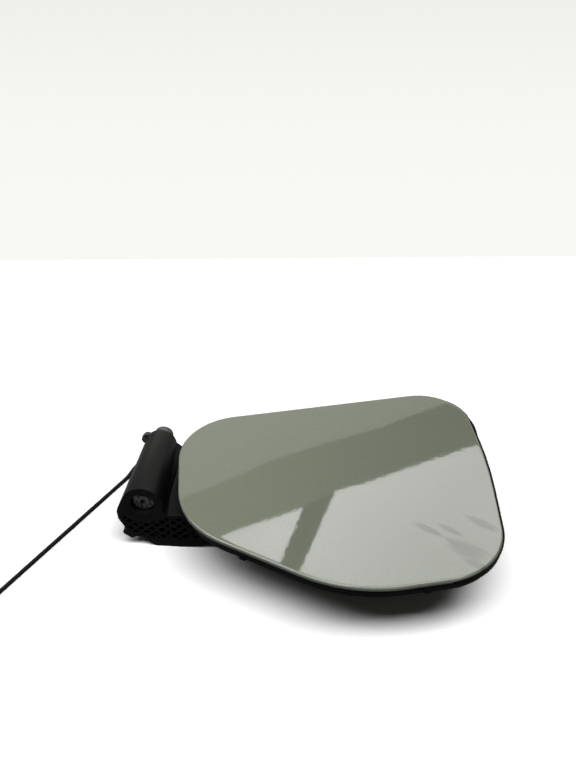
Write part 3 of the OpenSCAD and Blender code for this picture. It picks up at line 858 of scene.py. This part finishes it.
@dataclass
class Hinge:
    """The goose-neck arm with its bushes, pin, clip, lever and spring.

    The spring's inner leg is a share of the coil's radius, and stops clear of the turning pin.
    """

    shop: PartShop
    turns: int = 9
    steps_per_turn: int = 26
    wire: float = 0.8 * MM
    near_gap: float = 0.2 * MM
    end_room: float = 0.6 * MM
    inner_leg: float = 0.32

    def build(self) -> None:
        """Builds every piece of the hinge."""
        soften = self.shop.softened
        soften("hinge_arm", "goose_neck_arm", Slot.ARM, 0.25)
        soften("near_bush", "front_bush", Slot.BUSH, 0.2)
        soften("far_bush", "rear_bush", Slot.BUSH, 0.2)
        soften("spring_spacer", "spring_sleeve", Slot.SPACER, 0.15, Body.PIN)
        soften("hinge_pin", "pivot_pin", Slot.PIN, 0.35, Body.PIN)
        soften("pin_clip", "retaining_ring", Slot.SPRING, 0.1, Body.PIN)
        soften("anchor_lever", "dowel_lever", Slot.PIN, 0.3, Body.PIN)
        self._spring()

    def _spring(self) -> None:
        """Winds the spring round the pin, with one leg out to the arm and one in to the pin."""
        low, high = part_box("torsion_spring")
        coil = high.x - self.wire
        start = low.y + self.wire + self.near_gap
        length = high.y - low.y - 2 * self.wire - self.end_room
        mesh = bmesh.new()
        place = Matrix.Translation((0, start, -coil)) @ Matrix.Rotation(math.pi / 2, 4, "Y")
        ring = bmesh.ops.create_circle(mesh, radius=self.wire, segments=10, matrix=place)["verts"]
        edges = list(dict.fromkeys(e for v in ring for e in v.link_edges))
        first = self._leg(mesh, edges, Vector((0, 0, low.z + coil)))
        steps = self.turns * self.steps_per_turn
        made = bmesh.ops.spin(mesh, geom=ring + edges, cent=(0, 0, 0), axis=(0, 1, 0), steps=steps,
                              angle=math.tau * self.turns, dvec=(0, length / steps, 0))["geom_last"]
        last = self._leg(mesh, edges_of(made), Vector((0, 0, coil * self.inner_leg)))
        mesh = closed(mesh, first, last)
        self.shop.piece(mesh, "coil_spring", Slot.SPRING, ("torsion_spring",), crease=80.0)

    @staticmethod
    def _leg(mesh: BMesh, edges: list[Edge], shift: Vector) -> list[Edge]:
        """Draws a leg out of one end of the wire, square to the coil, and returns its open rim."""
        made = bmesh.ops.extrude_edge_only(mesh, edges=edges)["geom"]
        verts = verts_of(made)
        centre = sum((v.co for v in verts), Vector()) / len(verts)
        turn = Matrix.Rotation(math.pi / 2, 4, "Y")
        bmesh.ops.rotate(mesh, verts=verts, cent=centre, matrix=turn)
        bmesh.ops.translate(mesh, verts=verts, vec=shift)
        return edges_of(made)


# Route of the tether cord in millimetres, the same as its solid's: out of the boot and down, straight
# along the table in even steps, and round to the ferrule
LYING = -31.3
STRAIGHT = [(-26.6 + i * -2.8, 52.9 + i * -5.7, LYING) for i in range(18)]
ROUTE = [
    (-10.6, 60, -20), (-13.4, 60, -20.5), (-16.2, 59.9, -21.9), (-18.8, 59.6, -24),
    (-21.2, 58.8, -26.5), (-23.4, 57.3, -29), (-25.1, 55.4, -30.7), *STRAIGHT,
    (-76.9, -49.8, LYING), (-79.5, -55.8, LYING), (-81.9, -62.1, LYING), (-84, -68.7, LYING),
    (-85.8, -75.9, -30.8), (-87, -83.6, -30.3)]


@dataclass
class Tether:
    """The cap tether: its boot on the arm, the cord, the crimped ferrule and the cap's ring."""

    shop: PartShop
    length: float = 0.172
    diameter: float = 2.4 * MM
    plug: float = 2.38 * MM
    neck: float = 3.2 * MM
    bend: float = 3.3 * MM
    flange_wall: float = 1.4 * MM
    flange_edge: float = 0.3 * MM
    sleeve_wall: float = 0.4 * MM
    ribs: int = 4
    groove: float = 0.09
    crimps: tuple[float, ...] = (0.25, 0.55)

    def build(self) -> None:
        """Builds the tether: its boot, crimped sleeve, cap ring and cord."""
        boot = self._boot()
        ferrule = self._ferrule()
        ring = self.shop.softened("tether_ring", "cap_ring", Slot.RUBBER, 0.7)
        cord = self._cord()

    def _cord(self) -> Object:
        """Lays the cord along its route as one open curve."""
        curve = bpy.data.curves.new("tether_line", "CURVE")
        curve.dimensions = "3D"
        curve.bevel_depth = self.diameter / 2
        curve.bevel_resolution = 4
        curve.resolution_u = 4
        curve.use_fill_caps = True
        spline = curve.splines.new("BEZIER")
        spline.bezier_points.add(len(ROUTE) - 1)
        for knot, spot in zip(spline.bezier_points, ROUTE):
            knot.co = Vector(spot) * MM
            knot.handle_left_type = knot.handle_right_type = "AUTO"
        return self.shop.mounted(placed("tether_line", curve), Slot.CORD, ("tether_cord",))

    def _boot(self) -> Object:
        """Builds the plugged-in elbow and its ribbed, tapered sleeve."""
        low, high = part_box("tether_anchor")
        flange = (high.z - low.z) / 2
        level = (low.z + high.z) / 2
        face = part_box("hinge_arm")[1].y
        back = face + self.flange_wall
        out = high.y - self.neck
        edge = self.flange_edge
        bend = self.bend
        profile = [(0.0, low.y), (self.plug, low.y), (self.plug, face), (flange - edge, face),
                   (flange, face + edge), (flange, back - edge), (flange - edge, back),
                   (self.neck, back), (self.neck, out - bend)]
        mesh = spun(profile, Vector((0, 0, level)), Vector((0, 1, 0)), 32)
        rim = [e for e in mesh.edges if e.is_boundary]
        verts = list(dict.fromkeys(v for e in rim for v in e.verts))
        made = bmesh.ops.spin(mesh, geom=verts + rim, cent=(-bend, out - bend, level), axis=(0, 0, 1),
                              angle=math.pi / 2, steps=8)["geom_last"]
        rim = edges_of(made)
        centre = Vector((-bend, out, level))
        rings = self.ribs * 3
        step = Vector(((low.x + bend) / rings, 0, 0))
        taper = (self.diameter / 2 + self.sleeve_wall) / self.neck
        radius = 1.0
        for ring in range(1, rings + 1):
            cut = self.groove if ring % 3 == 1 and ring > 1 else 0.0
            wanted = 1.0 + (taper - 1.0) * ring / rings - cut
            rim, centre = grown(mesh, rim, centre, step, wanted / radius)
            radius = wanted
        mesh = closed(mesh, rim)
        return self.shop.piece(mesh, "tether_boot", Slot.RUBBER, ("tether_anchor",), crease=45.0)

    def _ferrule(self) -> Object:
        """Builds the crimped sleeve between the cord and the ring."""
        low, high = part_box("tether_ferrule")
        wide = (high.x - low.x) / 2
        long = high.y - low.y
        waist = wide * 0.84
        profile = [(0.0, 0.0), (wide * 0.9, 0.0), (wide, 0.2 * MM)]
        for at in self.crimps:
            profile += [(wide, long * at), (waist, long * (at + 0.05)), (waist, long * (at + 0.15)),
                        (wide, long * (at + 0.2))]
        profile += [(wide, long - 0.4 * MM), (wide * 0.8, long), (0.0, long)]
        start = Vector(((low.x + high.x) / 2, low.y, (low.z + high.z) / 2))
        mesh = spun(profile, start, Vector((0, 1, 0)), 28)
        return self.shop.piece(mesh, "crimp_sleeve", Slot.BLACK, ("tether_ferrule",), crease=40.0)


@dataclass(frozen=True)
class Reflector:
    """An upright flat shape beyond the set, which shows in glossy surfaces alone.

    It fades from its full strength on the left to right_share of it on the right.
    """

    name: str
    strength: float
    distance: float
    outline: tuple[Pair, ...]
    facing: float = 0.0
    right_share: float = 1.0
    tint: Colour = (1.0, 1.0, 1.0)
    clouds: float = 0.0
    cloud_scale: float = 2.6
    cloud_range: Pair = (0.35, 0.65)
    fades_between: Pair = (-0.4, 0.6)

    def build(self) -> None:
        """Builds the shape from its outline in X and Z, turned to its side of the set."""
        mesh = filled([(x, self.distance, z) for x, z in self.outline])
        turn = Matrix.Rotation(self.facing, 4, "Z")
        bmesh.ops.transform(mesh, matrix=turn, verts=mesh.verts)
        item = mesh_object(mesh, self.name)
        item.data.materials.append(self._material())
        item.visible_camera = False
        item.visible_diffuse = False
        item.visible_transmission = False
        item.visible_shadow = False

    def _material(self) -> Material:
        """Returns a glow that fades across the set and drifts a little in brightness."""
        material, sheet = blank_material(self.name)
        glow = sheet.add("Emission", {"Color": (*self.tint, 1.0)})
        across = sheet.after(sheet.add("TexCoord").outputs["Object"], "SeparateXYZ").outputs["X"]
        fade = sheet.ramp(across, *self.fades_between, self.strength,
                          self.strength * self.right_share)
        drift = sheet.add("TexNoise", {"Scale": self.cloud_scale, "Detail": 2.0})
        cloudy = sheet.ramp(drift.outputs["Fac"], *self.cloud_range, 1.0 + self.clouds,
                            1.0 - self.clouds)
        sheet.link(sheet.maths("MULTIPLY", fade, cloudy), glow.inputs["Strength"])
        sheet.after(glow.outputs[0], "OutputMaterial")
        return material


# What the gloss mirrors, in metres. Behind the flap stand a low soft panel, a bright high one, the
# dark beam that makes the band, its post, and a faint panel low on the left. One panel stands to
# the left of the set, one behind the camera, and a dark card on the right
BAND_TOP = ((-1.5, 3.2), (-0.4, 3.2), (-0.285, 1.71), (0.014, 1.498), (0.122, 1.388), (1.5, 0.63))
BAND_LOW = ((1.5, 0.47), (0.12, 1.117), (0.02, 1.17), (-0.17, 1.312), (-0.44, 1.462), (-1.5, 2.05))
REFLECTORS = (
    Reflector("low_panel", 1.75, 1.52, ((-1.5, 0.1), (1.5, 0.1), (1.5, 0.6), (0.07, 1.3), (-1.5, 2.4)),
              right_share=0.6, tint=(0.97, 1.0, 0.86)),
    Reflector("high_panel", 6.9, 1.52, ((-1.5, 2.4), (0.07, 1.3), (1.5, 0.6), (1.5, 3.2), (-1.5, 3.2)),
              right_share=0.66, clouds=0.16),
    Reflector("dark_beam", 0.95, 1.5, BAND_LOW + BAND_TOP, right_share=0.0, tint=(0.96, 1.0, 0.68)),
    Reflector("dark_post", 0.0, 1.5, ((0.014, 1.498), (0.122, 1.388), (-0.388, 3.2), (-0.48, 3.2))),
    Reflector("left_panel", 0.7, 1.51, ((-1.5, 0.0), (-0.75, 0.0), (-0.75, 1.1), (-1.5, 1.1))),
    Reflector("side_panel", 7.0, 1.6, ((-1.5, 0.95), (0.5, 0.95), (0.5, 2.8), (-1.5, 2.8)),
              facing=math.pi / 2),
    Reflector("front_panel", 6.0, 1.6, ((0.1, 0.9), (2.4, 0.9), (2.4, 3.0), (0.1, 3.0)),
              facing=math.pi),
    Reflector("dark_card", 0.0, 1.7, ((-1.2, -0.03), (3.0, -0.03), (3.0, 2.6), (-1.2, 2.6)),
              facing=-math.pi / 2),
)


@dataclass(frozen=True)
class SoftLight:
    """A soft panel overhead that points straight down."""

    name: str
    watts: float
    at: Triple
    size: Pair
    turn: float = 0.0

    def build(self) -> None:
        """Adds the panel to the scene."""
        data = bpy.data.lights.new(self.name, "AREA")
        data.shape = "RECTANGLE"
        data.size, data.size_y = self.size
        data.energy = self.watts
        lamp = placed(self.name, data)
        lamp.location = self.at
        lamp.rotation_euler = (0.0, 0.0, self.turn)


LIGHTS = (
    SoftLight("ceiling_light", 187.0, (0.55, -1.0, 4.0), (4.0, 1.7), math.radians(16.6)),
    SoftLight("side_light", 25.0, (-1.9, -0.95, 3.0), (1.5, 1.2)),
)


@dataclass
class Studio:
    """Camera, light, floor and what the gloss reflects."""

    camera_at: Vector = field(default_factory=lambda: Vector((105.5, -329.7, 314.5)) * MM)
    pitch: float = math.radians(34.7)
    yaw: float = math.radians(3.94)
    lens: float = 37.5
    sensor: float = 36.0
    floor_level: float = -32.5 * MM
    floor_half: float = 6.0
    table_end: float = 0.3825
    table_turn: float = 0.086
    table_tone: Colour = (1.18,) * 3
    wall_tone: Colour = (0.94, 0.945, 0.893)
    wall_top_tone: Colour = (0.868, 0.871, 0.835)
    wall_fades_at: float = 1.9
    even_between: Pair = (0.6, 1.4)
    air_tone: Colour = (1.015, 1.015, 0.955)
    bounce: float = 0.36
    ambient: float = 0.035

    def build(self) -> None:
        """Sets the whole studio up."""
        scene = bpy.context.scene
        scene.view_settings.view_transform = "Standard"
        self._camera(scene)
        self._world(scene)
        self._floor()
        for item in LIGHTS + REFLECTORS:
            item.build()

    def _camera(self, scene: bpy.types.Scene) -> None:
        """Puts the camera where the photograph was taken from."""
        data = bpy.data.cameras.new("camera")
        data.lens = self.lens
        data.sensor_width = self.sensor
        camera = placed("camera", data)
        camera.location = self.camera_at
        camera.rotation_euler = (math.pi / 2 - self.pitch, 0.0, self.yaw)
        scene.camera = camera

    def _world(self, scene: bpy.types.Scene) -> None:
        """Gives a pale background to the eye and to reflections, and a low even light."""
        world = bpy.data.worlds.new("studio_air")
        scene.world = world
        world.use_nodes = True
        sheet = NodeSheet(world.node_tree)
        seen = sheet.add("LightPath")
        direct = sheet.maths("MAXIMUM", seen.outputs["Is Camera Ray"], seen.outputs["Is Glossy Ray"])
        direct = sheet.maths("MAXIMUM", direct, seen.outputs["Is Transmission Ray"])
        air = sheet.add("Background", {"Color": (*self.air_tone, 1.0)})
        sheet.link(sheet.ramp(direct, 0.0, 1.0, self.ambient, 1.0), air.inputs["Strength"])
        sheet.after(air.outputs[0], "OutputWorld")

    def _floor(self) -> None:
        """Lays a large pale floor."""
        mesh = bmesh.new()
        bmesh.ops.create_grid(mesh, x_segments=1, y_segments=1, size=self.floor_half,
                              matrix=Matrix.Translation((0, 0, self.floor_level)))
        floor = mesh_object(mesh, "pale_floor")
        floor.data.materials.append(self._floor_material())

    def _floor_material(self) -> Material:
        """Returns a matt white that turns to an even pale tone far off and past the table's end."""
        material, sheet = blank_material("pale_floor")
        place = sheet.add("TexCoord").outputs["Object"]
        parts = sheet.after(place, "SeparateXYZ")
        slant = sheet.maths("MULTIPLY", parts.outputs["X"], self.table_turn)
        depth = sheet.maths("SUBTRACT", parts.outputs["Y"], slant)
        beyond = sheet.ramp(depth, self.table_end - MM, self.table_end + MM)
        far = sheet.maths("MAXIMUM", beyond, sheet.ramp(sheet.length(place), *self.even_between))
        seen = sheet.add("LightPath").outputs["Is Camera Ray"]
        matt = sheet.add("BsdfDiffuse")
        sheet.link(sheet.blend(seen, (self.bounce,) * 3, self.table_tone), matt.inputs["Color"])
        even = sheet.add("Emission")
        rising = sheet.ramp(depth, self.table_end, self.wall_fades_at)
        wall = sheet.blend(rising, self.wall_tone, self.wall_top_tone)
        sheet.link(sheet.blend(beyond, (1.0, 1.0, 1.0), wall), even.inputs["Color"])
        mixed = sheet.after(sheet.maths("MULTIPLY", seen, far), "MixShader")
        sheet.link(matt.outputs[0], mixed.inputs[1])
        sheet.link(even.outputs[0], mixed.inputs[2])
        sheet.after(mixed.outputs[0], "OutputMaterial")
        return material


def main() -> None:
    logging.basicConfig(level=logging.INFO, format="%(name)s: %(message)s")
    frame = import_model()
    Studio().build()
    shop = PartShop(frame)
    for assembly in (Tether(shop), CoverPanel(shop), Underside(shop), Hinge(shop)):
        log.info("building %s", type(assembly).__name__)
        assembly.build()


if __name__ == "__main__":
    main()
